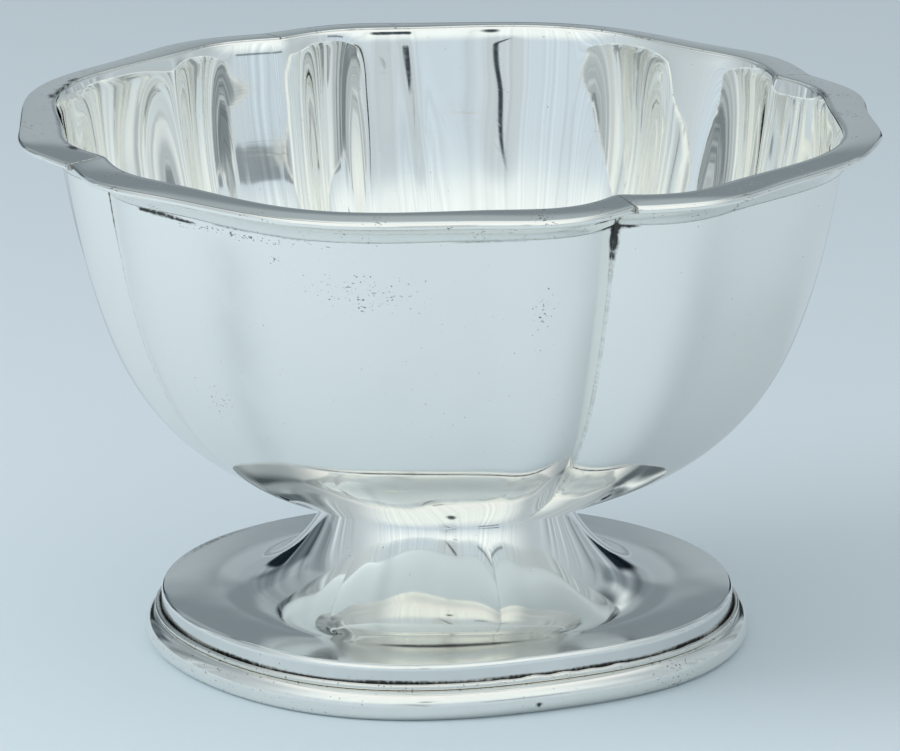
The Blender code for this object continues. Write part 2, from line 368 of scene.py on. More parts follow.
def times(tree, first, second):
    """Product of two numbers or sockets."""
    return math_node(tree, "MULTIPLY", first, second)


def plus(tree, first, second):
    """Sum of two numbers or sockets."""
    return math_node(tree, "ADD", first, second)


def minus(tree, first, second):
    """First less second, each a number or a socket."""
    return math_node(tree, "SUBTRACT", first, second)


def soft_step(tree, value, low, high, most=1.0):
    """Nought at low and most at high, with a smooth slope between; low may be the larger."""
    node = tree.nodes.new("ShaderNodeMapRange")
    node.interpolation_type = "SMOOTHSTEP"
    tree.links.new(value, node.inputs["Value"])
    node.inputs["From Min"].default_value = low
    node.inputs["From Max"].default_value = high
    node.inputs["To Max"].default_value = most
    return node.outputs["Result"]


def mixed(tree, share, first, second):
    """Mix of two colours, each a colour or a socket."""
    node = tree.nodes.new("ShaderNodeMix")
    node.data_type = "RGBA"
    tree.links.new(share, node.inputs["Factor"])
    for socket, value in ((node.inputs[6], first), (node.inputs[7], second)):
        if isinstance(value, tuple):
            socket.default_value = (*value, 1.0)
        else:
            tree.links.new(value, socket)
    return node.outputs[2]


def noise(tree, scale, stretch=(1.0, 1.0, 1.0), turn=(0.0, 0.0, 0.0), detail=2.0):
    """Noise over the object's own coordinates, turned and stretched first."""
    place = tree.nodes.new("ShaderNodeMapping")
    place.inputs["Rotation"].default_value = turn
    place.inputs["Scale"].default_value = stretch
    tree.links.new(tree.nodes.new("ShaderNodeTexCoord").outputs["Object"], place.inputs["Vector"])
    node = tree.nodes.new("ShaderNodeTexNoise")
    node.inputs["Scale"].default_value = scale
    node.inputs["Detail"].default_value = detail
    tree.links.new(place.outputs[0], node.inputs["Vector"])
    return node.outputs[0]


def layer(tree, name):
    """Value that the mesh keeps under this name."""
    node = tree.nodes.new("ShaderNodeAttribute")
    node.attribute_name = name
    return node.outputs["Fac"]


def silver(name, colour, roughness):
    """Polished silver, worn: cloudy polish, rubbed lines, scratches, a dull grey coat, pits and black
    tarnish.

    The mesh's layers say where the dull grey coat lies, which also carries painted shade, and where pits
    and tarnish lie; noise breaks up their edges.
    """
    material = bpy.data.materials.new(name)
    material.use_nodes = True
    tree = material.node_tree
    cloud = noise(tree, CLOUD_SCALE, detail=4.0)
    speckle = noise(tree, SPECKLE_SCALE, detail=3.0)
    rubbed = soft_step(tree, noise(tree, 1.0, RUBBED_STRETCH), *RUBBED_RANGE)
    scratch = soft_step(tree, noise(tree, 1.0, SCRATCH_STRETCH, SCRATCH_TURN), *SCRATCH_RANGE)
    film_and_shade = times(tree, layer(tree, "film_and_shade"), soft_step(tree, cloud, *FILM_AND_SHADE_RANGE))
    film_and_shade = plus(tree, film_and_shade, soft_step(tree, cloud, *CLOUD_RANGE, most=CLOUD_FILM))
    broken = times(tree, minus(tree, speckle, 0.5), TARNISH_BREAK)
    blackened = layer(tree, "tarnish")
    tarnish = soft_step(tree, plus(tree, blackened, times(tree, broken, blackened)), *TARNISH_RANGE)
    pit_noise = noise(tree, 1.0, PIT_STRETCH, detail=3.0)
    pitted = soft_step(tree, plus(tree, pit_noise, times(tree, layer(tree, "pits"), PIT_GAIN)), *PIT_RANGE)
    # the dull grey coat is partly a real dull film and partly painted shade
    colour = mixed(tree, film_and_shade, colour, FILM_AND_SHADE_COLOUR)
    colour = mixed(tree, times(tree, pitted, PIT_DARKNESS), colour, PIT_COLOUR)
    colour = mixed(tree, tarnish, colour, TARNISH_COLOUR)
    dull = plus(tree, times(tree, film_and_shade, FILM_DULL), times(tree, rubbed, RUBBED_DULL))
    dull = plus(tree, dull, times(tree, math_node(tree, "MAXIMUM", tarnish, pitted), BLACK_DULL))
    dull = plus(tree, dull, times(tree, scratch, SCRATCH_DULL))
    height = plus(tree, times(tree, rubbed, RUBBED_HEIGHT), times(tree, scratch, SCRATCH_HEIGHT))
    height = plus(tree, height, times(tree, pitted, PIT_HEIGHT))
    bump = tree.nodes.new("ShaderNodeBump")
    bump.inputs["Distance"].default_value = 1.0
    tree.links.new(height, bump.inputs["Height"])
    shader = tree.nodes["Principled BSDF"]
    shader.inputs["Metallic"].default_value = 1.0
    tree.links.new(colour, shader.inputs["Base Color"])
    tree.links.new(plus(tree, dull, roughness), shader.inputs["Roughness"])
    tree.links.new(bump.outputs[0], shader.inputs["Normal"])
    return material


angles = quarter_angles(BOWL_COLUMNS)[None, :]
curve = np.linspace(CAP_SHARE, 1.0, BOWL_ROWS) * 0.5 * math.pi
falls = np.cos(curve) ** (2.0 / WALL_FULLNESS)
lip_falls = np.linspace(LIP_SHARE, LIP_SINK / BOWL_DEPTH, LIP_ROWS)
falls = np.concatenate([falls[falls > LIP_SHARE], lip_falls])[:, None]
drop = BOWL_DEPTH * falls
inner_drop = (BOWL_DEPTH - BOWL_WALL) * falls
outer_face = polar(wall_face(angles, drop), angles, RIM_TOP - drop)
inner_face = polar(wall_face(angles, inner_drop, BOWL_WALL), angles, RIM_TOP - inner_drop)

line_strength = LINE_TARNISH + waves(LINE_SEED, angles, 0.0, LINE_WAVE, LINE_CHANGE)
tarnish = line_strength * np.exp(-((drop - LINE_DROP) / LINE_WIDTH) ** 2)
for middle, most, reach, wide, least, width in CREASE_TARNISH:
    from_crease = wall_radius(drop) * np.abs(aside(angles, middle))
    near_rim = np.exp(-(drop / reach) ** 4)
    tarnish = tarnish + most * near_rim * np.exp(-(from_crease / wide) ** 2)
    tarnish = tarnish + least * np.exp(-(from_crease / width) ** 2)
from_blot = wall_radius(drop) * np.abs(aside(angles, BLOT_ANGLE))
blot = np.exp(-(from_blot / BLOT_WIDTH) ** 2 - ((drop - BLOT_DROP) / BLOT_HEIGHT) ** 2)
tarnish = tarnish + BLOT_TARNISH * blot
along_gouge = (np.degrees(aside(angles, 0.0)) - GOUGE_ANGLE) / GOUGE_LENGTH
gouge = np.exp(-((drop - GOUGE_DROP - GOUGE_FALL * along_gouge) / GOUGE_WIDTH) ** 2)
gouge = gouge * smooth(along_gouge, *GOUGE_START) * smooth(along_gouge, *GOUGE_END)
tarnish = tarnish + GOUGE_TARNISH * gouge
pits = np.full_like(tarnish, PITS_EVERYWHERE)
for middle, low, width, tall, much in PITTED:
    pits = pits + much * bell(angles, middle, width) * np.exp(-((drop - low) / tall) ** 2)
film_and_shade = np.full_like(tarnish, FILM_OUTSIDE)
# painted shade: the upright bands grey and dull the silver outside
for middle, width, much in PAINTED_SHADE_BANDS:
    film_and_shade = film_and_shade + much * bell(angles, middle, width) * smooth(drop, PAINTED_SHADE_FROM, PAINTED_SHADE_FULL)

bowl = grid_piece("bowl", np.concatenate([outer_face, inner_face[::-1]]), capped=True, layers={
    "tarnish": np.concatenate([tarnish, np.zeros_like(tarnish)]),
    "pits": np.concatenate([pits, np.full_like(pits, PITS_EVERYWHERE)]),
    "film_and_shade": np.concatenate([film_and_shade, np.full_like(film_and_shade, FILM_INSIDE)])})
bowl.data.materials.append(silver("bowl_silver", SILVER, BOWL_ROUGHNESS))
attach(bowl, "root")
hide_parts("bowl_body")


# The rim: four lengths of drawn silver moulding, one over each lobe, bent to its curve, mitred at the
# creases and soldered round the lip. A flange covers the lip; a rounded ridge overhangs a cove.

RIM_SIDES = ("front", "right", "back", "left")
RIDGE_OUT = 0.0706                  # ridge at a lobe's crest
RIDGE_MOST = 0.07066                # no part of the ridge stands further out
RIDGE_VALLEY_ANGLE = math.radians(21.0)
RIDGE_VALLEY = 0.0023               # the ridge's own lobing, in metres
RIDGE_SWELL = 0.0013
RIDGE_CREASES = np.array([0.0056, 0.0036, 0.0030, 0.0034])
RIDGE_BENT = ((-65.0, 12.0, 0.0007), (100.0, 10.0, 0.0012))  # where a quarter was bent fuller
RIDGE_WAVE = (8, 0.030, 0.00007)    # its wobble: seed, length and size
RIDGE_RADIUS = 0.0006
RIDGE_ARC = (80.0, -45.0)           # where the ridge's round starts and ends, in degrees
RIM_DEPTH = 0.0049
RIM_FALL = 0.00025                  # fall of the flange towards the ridge, if it kept its first slope
RIM_ROUND = 0.00028                 # what its rounding adds to that
RIM_EDGE = 0.0006                   # thickness of the moulding's lower edge
RIM_SEAM = 0.00005                  # solder between the moulding and the wall
COVE_HOLLOW = 0.0006
FLANGE_EDGE = 0.00015               # rounding of the flange's inner edge
NOSE_ARC = (270.0, 90.0)
NOSE_POINTS = 7                     # points round that edge, along the flange, the ridge and the cove
FLANGE_POINTS = 9
RIDGE_POINTS = 13
COVE_POINTS = 13
RIM_STEPS = 128
MITRE_GAP = 0.00004
MITRE_REACH = 0.006                 # how far from a mitre its two ends are bent apart
MITRE_STEPS = {("right", -1): 0.00055, ("front", 1): -0.00025, ("left", 1): 0.0003, ("front", -1): -0.0002}

RIM_COLOUR = (0.950, 0.935, 0.890)
RIM_ROUGHNESS = 0.045
FLANGE_DEEPEST = 0.0006             # drops above this one are on the flange
MITRE_WIDTH = 0.00025               # width and strength of the tarnish at the mitres
MITRE_TARNISH = 0.45
SEAT_WIDTH = 0.0003                 # at the seat on the wall, which is filmed too
SEAT_TARNISH = 0.28
SEAT_FILM = 0.25
INNER_EDGE_WIDTH = 0.0007           # and in blotches along the inner edge
INNER_EDGE_TARNISH = 0.55
BLOTCH = (26, 0.014, 0.5)           # seed of the first length, wave length and size
DENTS = (20, 0.004, 0.6)
DENT_PITS = 0.35
RIM_PITS = 0.15                     # pits and film all along it
RIM_FILM = 0.08
RIM_FLECKS = ((-88.0, 9.0), (-51.0, 5.0))  # black flecks near the inner edge: middle and half width
FLECK = (34, 0.0050, 0.75)
FLECK_IN = 0.0007                   # their distance from the inner edge
FLECK_WIDTH = 0.0009
FLECK_TARNISH = 0.8


def rim_section(angle, step_out):
    """Closed section of the moulding at these angles, as radii and drops below the rim's top.

    It goes from the flange's inner edge out along the top, round the ridge by 125 degrees, in along
    the cove, which a sine hollows, to the lower edge, and back up the wall and under the flange.
    """
    rim_drop = np.zeros_like(angle)
    top = wall_face(angle, rim_drop)
    low = wall_face(angle, rim_drop + RIM_DEPTH) + RIM_SEAM
    inner = wall_face(angle, rim_drop, BOWL_WALL)
    seed, length, size = RIDGE_WAVE
    ridge = RIDGE_OUT - lobing(angle, RIDGE_VALLEY_ANGLE, RIDGE_VALLEY, RIDGE_SWELL, RIDGE_CREASES)
    ridge = ridge + waves(seed, angle, 0.0, length, size) + step_out
    for middle, width, more in RIDGE_BENT:
        ridge = ridge + more * bell(angle, middle, width)
    centre = np.minimum(ridge, RIDGE_MOST) - RIDGE_RADIUS
    nose = np.radians(np.linspace(*NOSE_ARC, NOSE_POINTS))
    radii = [inner + FLANGE_EDGE * (1.0 + np.cos(turn)) for turn in nose]
    drops = [FLANGE_EDGE * (1.0 - np.sin(turn)) for turn in nose]
    flange = np.linspace(0.0, 1.0, FLANGE_POINTS)[1:-1]
    radii += [inner + FLANGE_EDGE + (centre - inner - FLANGE_EDGE) * step for step in flange]
    drops += [RIM_FALL * step + RIM_ROUND * step ** 2 for step in flange]
    arc = np.radians(np.linspace(*RIDGE_ARC, RIDGE_POINTS))
    radii += [centre + RIDGE_RADIUS * np.cos(turn) for turn in arc]
    drops += [RIM_FALL + RIM_ROUND + RIDGE_RADIUS * (1.0 - np.sin(turn)) for turn in arc]
    under, fallen = radii[-1], drops[-1]
    cove = np.linspace(0.0, 1.0, COVE_POINTS)[1:]
    hollow = COVE_HOLLOW * np.sin(math.pi * cove)
    radii += [under + (low + RIM_EDGE - under) * step - deep for step, deep in zip(cove, hollow)]
    drops += [fallen + (RIM_DEPTH - fallen) * step - deep for step, deep in zip(cove, hollow)]
    radii += [low, top + RIM_SEAM]
    drops += [RIM_DEPTH, 2.0 * FLANGE_EDGE]
    drops = [one + rim_drop for one in drops]
    return np.stack(radii, axis=-1), np.stack(drops, axis=-1)


def rim_waves(side, angle, height, kind):
    """Waves along one length of the rim; each length has its own seed, counted on from the kind's."""
    seed, length, size = kind
    return waves(seed + side, angle, height, length, size)


rim_silver = silver("rim_silver", RIM_COLOUR, RIM_ROUGHNESS)
way = np.linspace(-1.0, 1.0, RIM_STEPS + 1)
from_end = (1.0 - np.abs(way)) ** CREASE_CROWDING
to_mitre = 0.5 * QUARTER * RIDGE_OUT * from_end
for side, side_name in enumerate(RIM_SIDES):
    bent = side * QUARTER + 0.5 * QUARTER * np.sign(way) * (1.0 - from_end)
    step_out = sum(MITRE_STEPS.get((side_name, end), 0.0) * (np.sign(way) == end) for end in (-1, 1))
    step_out = step_out * np.exp(-(to_mitre / MITRE_REACH) ** 2)
    rim_radii, rim_drops = rim_section(bent % (2.0 * math.pi), step_out)
    cut = 0.5 * MITRE_GAP * np.sign(way) * (np.abs(way) == 1.0)
    rim_points = polar(rim_radii, bent[:, None] - cut[:, None] / rim_radii, RIM_TOP - rim_drops)

    bent_column = bent[:, None]
    from_edge = rim_radii - rim_radii.min(axis=1, keepdims=True)
    on_flange = rim_drops < FLANGE_DEEPEST
    mitre = np.exp(-(to_mitre[:, None] / MITRE_WIDTH) ** 2)
    inner_edge = np.exp(-(from_edge / INNER_EDGE_WIDTH) ** 2) * on_flange
    blotch = np.maximum(rim_waves(side, bent_column, 0.0, BLOTCH), 0.0)
    seat = np.exp(-((rim_drops - RIM_DEPTH) / SEAT_WIDTH) ** 2)
    dents = np.maximum(rim_waves(side, bent_column, rim_drops, DENTS), 0.0)
    flecked = sum(bell(bent_column, middle, width) for middle, width in RIM_FLECKS) * on_flange
    flecked = flecked * np.exp(-((from_edge - FLECK_IN) / FLECK_WIDTH) ** 2)
    flecks = np.abs(rim_waves(side, bent_column, rim_radii, FLECK)) * flecked
    rim_tarnish = MITRE_TARNISH * mitre + SEAT_TARNISH * seat + INNER_EDGE_TARNISH * inner_edge * blotch
    rim = grid_piece("rim_" + side_name, rim_points, capped=True, layers={
        "tarnish": rim_tarnish + FLECK_TARNISH * flecks,
        "pits": RIM_PITS + DENT_PITS * dents,
        "film_and_shade": RIM_FILM + SEAT_FILM * seat})
    rim.data.materials.append(rim_silver)
    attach(rim, "root")
    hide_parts("rim_wire_" + side_name)


# The foot: silver sheet spun into a trumpet stem, a nearly flat plate and a turned-down band. It is
# hollow, and its top edge is soldered to the bowl. Years of use have knocked it out of round.

foot_low, foot_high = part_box("pedestal")
SEAT_HEIGHT = foot_high.z
FOOT_RADIUS = foot_high.x
FOOT_WALL = 0.0009
SOLDER = 0.0003                     # solder that fills the gap at a joint
STEM_LEAN = math.radians(13.5)      # the stem's lean out where it leaves the bowl
STEM_PULL = 0.0055                  # how far the flare keeps to that lean
DISH_RADIUS = 0.0380                # where the flare has run out into the plate
DISH_HEIGHT = 0.0092
DISH_PULL = 0.0100                  # how far the flare keeps level there
DISH_OUT_PULL = 0.0030              # and the plate outside it
EDGE_TOP = 0.0088                   # the plate's edge, where the shoulder starts
EDGE_RISE = math.radians(-4.0)
EDGE_PULL = 0.0020
SHOULDER_RADIUS = 0.0008
STEM_ROWS = 80
PLATE_ROWS = 24
SHOULDER_ROWS = 16
BAND_ROWS = 24
ROUND_COLUMNS = 360
ROUND = np.linspace(0.0, 2.0 * math.pi, ROUND_COLUMNS, endpoint=False)[:, None]
KNOCKED_OUT = (0.0022, -4.0, 26.0)  # loss of round: how far, its middle and half width
PRESSED_IN = (0.0018, 42.0, 24.0)
FOOT_UNEVEN = ((11, 0.016, 0.000012), (12, 0.007, 0.000003))  # spinning waves: seed, length and size
FOOT_UNEVEN_FULL = 0.024            # radius from which they have that size
FOOT_REACH = 0.035

FOOT_ROUGHNESS = 0.035
RING_RADIUS = 0.0415                # a ring on the front of the plate, greyed and dulled as a painted reflection of the grey that the plate mirrors there
RING_WIDTH = 0.0035
RING_PLACE = (18.0, 48.0)           # middle and half width round
RING_PAINTED_GREY = 0.75
WORN_IN = 0.0012                    # a worn stretch of the plate's edge, this far in from it
WORN_WIDTH = 0.0011
WORN_PLACE = (-103.0, 17.0)
WORN_TARNISH = 0.40
WORN_PITS = 0.5
JOINT_DROP = 0.0002                 # tarnish under the joint with the bowl
JOINT_WIDTH = 0.0004
JOINT_TARNISH = 0.15
FOOT_PITS = 0.04                    # pits and film all over it, and film on its hidden faces
FOOT_FILM = 0.08
HIDDEN_FILM = 0.6
GROOVE_TOP = 0.0066                 # heights of the tarnish on the band, above the fillet
GROOVE_BLACK = 0.0058
BAND_MARGIN = 0.00005               # points this near to the band's radius are on the band
GROOVE_TARNISH = 0.62
GROOVE_CHANGE = (13, 0.016, 0.14)   # how it changes round the foot: seed, length and size
GROOVE_LEAST = 0.3


def out_of_round(angle):
    """Growth of the foot's radius by angle: a knocked-out side less a pressed-in side, as bell curves."""
    far_out, out_middle, out_width = KNOCKED_OUT
    far_in, in_middle, in_width = PRESSED_IN
    return far_out * bell(angle, out_middle, out_width) - far_in * bell(angle, in_middle, in_width)


def turned_piece(name, radii, heights, spread, layers):
    """A closed profile turned about the axis, moved outwards by the foot's loss of round.

    spread is the share of that loss at each point of the profile.
    """
    points = polar(radii + spread * out_of_round(ROUND), ROUND, heights)
    return grid_piece(name, points, closed_rows=True, layers=layers)


def foot_spread(radii):
    """Share of the loss of round: none at the stem, all at the edge, by a square of the way out."""
    return np.clip((radii - STEM_RADIUS) / (FOOT_RADIUS - STEM_RADIUS), 0.0, 1.0) ** 2


def drawn_curve(start, leave, end, arrive, steps):
    """A cubic curve between two points, drawn out along the way it leaves and the way it arrives."""
    way = np.linspace(0.0, 1.0, steps)[:, None]
    return ((1.0 - way) ** 3 * start + 3.0 * way * (1.0 - way) ** 2 * (start + leave)
            + 3.0 * way ** 2 * (1.0 - way) * (end - arrive) + way ** 3 * end)


stem_top = np.array([STEM_RADIUS, SEAT_HEIGHT])
dish = np.array([DISH_RADIUS, DISH_HEIGHT])
brink = np.array([FOOT_RADIUS - SHOULDER_RADIUS * (1.0 + math.sin(EDGE_RISE)), EDGE_TOP])
down_stem = np.array([math.sin(STEM_LEAN), -math.cos(STEM_LEAN)])
level = np.array([1.0, 0.0])
off_edge = np.array([math.cos(EDGE_RISE), math.sin(EDGE_RISE)])
flare = drawn_curve(stem_top, STEM_PULL * down_stem, dish, DISH_PULL * level, STEM_ROWS)
plate = drawn_curve(dish, DISH_OUT_PULL * level, brink, EDGE_PULL * off_edge, PLATE_ROWS)
face = np.concatenate([flare, plate[1:]])
along = np.gradient(face, axis=0)
along /= np.linalg.norm(along, axis=1)[:, None]
under_face = (face + FOOT_WALL * np.stack([along[:, 1], -along[:, 0]], axis=1))[::-1]
under_face = under_face[2:]         # the two points nearest to the edge would lie in the band
shoulder_turn = np.linspace(0.5 * math.pi + EDGE_RISE, 0.0, SHOULDER_ROWS)[1:]
shoulder = FOOT_RADIUS - SHOULDER_RADIUS * (1.0 - np.cos(shoulder_turn))
shoulder_height = EDGE_TOP - SHOULDER_RADIUS * (math.cos(EDGE_RISE) - np.sin(shoulder_turn))
band_top = shoulder_height[-1]
band_height = np.linspace(band_top, foot_low.z, BAND_ROWS + 1)[1:]
inner_band = FOOT_RADIUS - FOOT_WALL
foot_radii = np.concatenate([
    [STEM_RADIUS], face[:, 0], shoulder, np.full(BAND_ROWS, FOOT_RADIUS), [inner_band, inner_band],
    under_face[:, 0]])
foot_heights = np.concatenate([
    [SEAT_HEIGHT + SOLDER], face[:, 1], shoulder_height, band_height,
    [foot_low.z, band_top - 0.5 * FOOT_WALL], under_face[:, 1]])
outside = np.zeros_like(foot_radii)
outside[:1 + len(face) + len(shoulder)] = 1.0
spun = sum(waves(seed, ROUND, foot_radii, length, size, FOOT_REACH) for seed, length, size in FOOT_UNEVEN)
foot_heights = foot_heights + outside * smooth(foot_radii, STEM_RADIUS, FOOT_UNEVEN_FULL) * spun

# painted reflection: a grey, dull ring on the plate's front, centred towards the lens
ring = np.exp(-((foot_radii - RING_RADIUS) / RING_WIDTH) ** 2) * outside * bell(ROUND, *RING_PLACE)
worn = np.exp(-((foot_radii - FOOT_RADIUS + WORN_IN) / WORN_WIDTH) ** 2) * outside
worn = worn * bell(ROUND, *WORN_PLACE)
joint = np.exp(-((foot_heights - SEAT_HEIGHT + JOINT_DROP) / JOINT_WIDTH) ** 2)
seed, length, size = GROOVE_CHANGE
groove = np.clip(GROOVE_TARNISH + waves(seed, ROUND, 0.0, length, size, FOOT_RADIUS), GROOVE_LEAST, 1.0)
on_band = foot_radii > FOOT_RADIUS - BAND_MARGIN
groove = groove * smooth(foot_heights, GROOVE_TOP, GROOVE_BLACK) * on_band
foot = turned_piece("foot", foot_radii, foot_heights, foot_spread(foot_radii), {
    "tarnish": WORN_TARNISH * worn + JOINT_TARNISH * joint + groove,
    "pits": FOOT_PITS + WORN_PITS * worn,
    "film_and_shade": FOOT_FILM + RING_PAINTED_GREY * ring + HIDDEN_FILM * (1.0 - outside)})
foot.data.materials.append(silver("foot_silver", SILVER, FOOT_ROUGHNESS))
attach(foot, "root")
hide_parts("pedestal")


# The base bead: half-round silver wire, bent into a ring round the foot's band and soldered to it.
# The bowl stands on it, so its underside is worn to a narrow flat.

bead_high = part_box("base_bead")[1]
BAND_SEAM = 0.0001                  # solder between the band and the wires round it
BEAD_INNER = FOOT_RADIUS + BAND_SEAM
BEAD_WIDTH = bead_high.x - BEAD_INNER
BEAD_TOP = bead_high.z + SOLDER
BEAD_FLAT = 0.0010                  # width of the worn flat
BEAD_ROWS = 28
BEAD_ROUGHNESS = 0.09
SHELF_FROM = 0.00035                # depths below the bead's top between which it tarnishes
SHELF_FULL = 0.00005
SHELF_TARNISH = 0.10
SHELF_CHANGE = (41, 0.010, 0.07)    # how that changes round the bead: seed, length and size
KNOCK_PLACE = (36.0, 0.8)           # a small black knock on the front right
KNOCK_HEIGHT = 0.0016
KNOCK_TALL = 0.0005
KNOCK_TARNISH = 0.8
BEAD_PITS = 0.12
BEAD_PITTED = ((67.0, 5.0, 0.42), (-30.0, 25.0, 0.25))  # more of them: middle, half width, how many
BEAD_FILM = 0.14

low_turn = math.acos(BEAD_FLAT / BEAD_WIDTH)
bulge = BEAD_TOP / (1.0 + math.sin(low_turn))
bead_turn = np.linspace(0.5 * math.pi, -low_turn, BEAD_ROWS)
bead_radii = np.concatenate([BEAD_INNER + BEAD_WIDTH * np.cos(bead_turn), [BEAD_INNER, BEAD_INNER]])
bead_heights = np.concatenate([BEAD_TOP - bulge * (1.0 - np.sin(bead_turn)), [0.0, 0.5 * BEAD_TOP]])
shelf = smooth(bead_heights, BEAD_TOP - SHELF_FROM, BEAD_TOP - SHELF_FULL)
knock = bell(ROUND, *KNOCK_PLACE) * np.exp(-((bead_heights - KNOCK_HEIGHT) / KNOCK_TALL) ** 2)
seed, length, size = SHELF_CHANGE
shelf_tarnish = SHELF_TARNISH + waves(seed, ROUND, 0.0, length, size, FOOT_RADIUS)
bead_pits = BEAD_PITS
for middle, width, much in BEAD_PITTED:
    bead_pits = bead_pits + much * bell(ROUND, middle, width)
bead = turned_piece("bead", bead_radii, bead_heights, 1.0, {
    "tarnish": shelf_tarnish * shelf + KNOCK_TARNISH * knock,
    "pits": bead_pits,
    "film_and_shade": BEAD_FILM})
bead.data.materials.append(silver("bead_silver", RIM_COLOUR, BEAD_ROUGHNESS))
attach(bead, "root")
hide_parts("base_bead")


# The fillet: a thin silver wire laid in the corner between the bead and the band and run in with
# hard solder. The solder stands in small lumps at the front right, and the corner above it is black.

fillet_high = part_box("fillet_wire")[1]
FILLET_INNER = FOOT_RADIUS + BAND_SEAM
FILLET_OUTER = fillet_high.x
FILLET_RISE = 0.0004                # its top above its middle
FILLET_SEAM = 0.00003               # solder between it and the bead
FILLET_ROWS = 16
FILLET_COLOUR = (0.88, 0.86, 0.80)
FILLET_ROUGHNESS = 0.12
LUMPS = (31, 0.005, 0.8)            # lumps of solder: seed, length and size of their waves
LUMP_PLACE = (45.0, 30.0)
LUMP_RISE = 0.00016
LUMP_BRIGHT = 0.6                   # tarnish that is rubbed off the lumps
BLACK = 0.55                        # tarnish, how it changes round, and its least
BLACK_CHANGE = (32, 0.014, 0.35)
BLACK_LEAST = 0.15
# Where it lies across the wire: strength, then middle and width as shares of the wire's half width.
CRACKS = ((1.6, -0.70, 0.45), (0.10, 1.0, 0.25))
FILLET_PITS = 0.4
FILLET_FILM = 0.25

wire_turn = np.linspace(0.0, -2.0 * math.pi, FILLET_ROWS, endpoint=False)
out, up = np.cos(wire_turn), np.sin(wire_turn)
fillet_middle = 0.5 * (FILLET_INNER + FILLET_OUTER)
fillet_radii = fillet_middle + 0.5 * (FILLET_OUTER - FILLET_INNER) * out
out_on_bead = (fillet_radii - BEAD_INNER) / BEAD_WIDTH
bead_top = BEAD_TOP - bulge * (1.0 - np.sqrt(np.maximum(0.0, 1.0 - out_on_bead ** 2)))
middle_height = fillet_high.z + SOLDER - FILLET_RISE
reach_down = middle_height - bead_top - FILLET_SEAM
fillet_heights = middle_height + np.where(up > 0.0, FILLET_RISE, reach_down) * up
seed, length, size = LUMPS
lumps = np.maximum(waves(seed, ROUND, 0.0, length, size, FOOT_RADIUS), 0.0) * bell(ROUND, *LUMP_PLACE)
seed, length, size = BLACK_CHANGE
black = np.clip(BLACK + waves(seed, ROUND, 0.0, length, size, FOOT_RADIUS), BLACK_LEAST, 1.0)
crack = sum(strength * np.exp(-((out - middle) / width) ** 2) for strength, middle, width in CRACKS)
swollen = LUMP_RISE * lumps * np.maximum(up, 0.0)
fillet = turned_piece("fillet", fillet_radii, fillet_heights + swollen, 1.0, {
    "tarnish": black * crack - LUMP_BRIGHT * lumps,
    "pits": FILLET_PITS,
    "film_and_shade": FILLET_FILM})
fillet.data.materials.append(silver("fillet_silver", FILLET_COLOUR, FILLET_ROUGHNESS))
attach(fillet, "root")
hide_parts("fillet_wire")


# The camera, at the photograph's angle: a long lens that looks at the bowl's axis from the front right
# and a little from above.

CAMERA_AZIMUTH = math.radians(18.0)
CAMERA_RISE = math.radians(15.2)
CAMERA_DISTANCE = 1.624
AIM_HEIGHT = 0.0436
AIM_RIGHT = 0.00049
LENS = 400.0                        # millimetres, as is the sensor
SENSOR = 36.0
NEAREST = 0.01

camera = bpy.data.objects.new("camera", bpy.data.cameras.new("camera"))
camera.data.sensor_width = SENSOR
camera.data.lens = LENS
camera.data.clip_start = NEAREST
right = Vector((math.cos(CAMERA_AZIMUTH), math.sin(CAMERA_AZIMUTH), 0.0))
back = Vector((math.sin(CAMERA_AZIMUTH) * math.cos(CAMERA_RISE),
               -math.cos(CAMERA_AZIMUTH) * math.cos(CAMERA_RISE), math.sin(CAMERA_RISE)))
camera.location = Vector((0.0, 0.0, AIM_HEIGHT)) + right * AIM_RIGHT + back * CAMERA_DISTANCE
camera.rotation_mode = "QUATERNION"
camera.rotation_quaternion = back.to_track_quat("Z", "Y")
bpy.context.scene.collection.objects.link(camera)
bpy.context.scene.camera = camera
bpy.context.scene.view_settings.view_transform = "Standard"


# The stage: a pale sheet of matt paper on the table, which runs out of the picture on every side.
# Its colour has painted light falloff, darker towards the back and the right, and painted shade darkens
# what the silver mirrors of it behind the bowl.

TABLE_HALF = 3.0
TABLE_COLOUR = (0.665, 0.780, 0.845)  # near the lens
TABLE_BACK = (0.490, 0.580, 0.640)
TABLE_SHADE = (0.05, 0.06, 0.07)    # what the silver mirrors right behind the bowl
TABLE_ROUGHNESS = 0.8
TABLE_SHEEN = 0.1
PALE_TO_BACK = (-0.16, 0.55)        # distances behind the axis between which it darkens
PALE_TO_RIGHT = 0.2                 # how much a step to the right counts as one to the back
SHADE_BEHIND = (0.03, 0.20)
SHADE_BESIDE = (0.12, 0.06)
SHADE_MOST = 0.55

span = np.array([-TABLE_HALF, TABLE_HALF])
table_x, table_y = np.meshgrid(span, span)
table_points = np.stack([table_x, table_y, np.zeros_like(table_x)], axis=-1)
table_top = grid_piece("table_top", table_points, closed_columns=False)
table_paper = bpy.data.materials.new("table_top")
table_paper.use_nodes = True
tree = table_paper.node_tree
table_turn = tree.nodes.new("ShaderNodeVectorRotate")
table_turn.rotation_type = "Z_AXIS"
table_turn.inputs["Angle"].default_value = -CAMERA_AZIMUTH
tree.links.new(tree.nodes.new("ShaderNodeTexCoord").outputs["Object"], table_turn.inputs["Vector"])
table_split = tree.nodes.new("ShaderNodeSeparateXYZ")
tree.links.new(table_turn.outputs[0], table_split.inputs[0])
to_right, to_back = table_split.outputs["X"], table_split.outputs["Y"]
in_mirror = tree.nodes.new("ShaderNodeLightPath").outputs["Is Glossy Ray"]
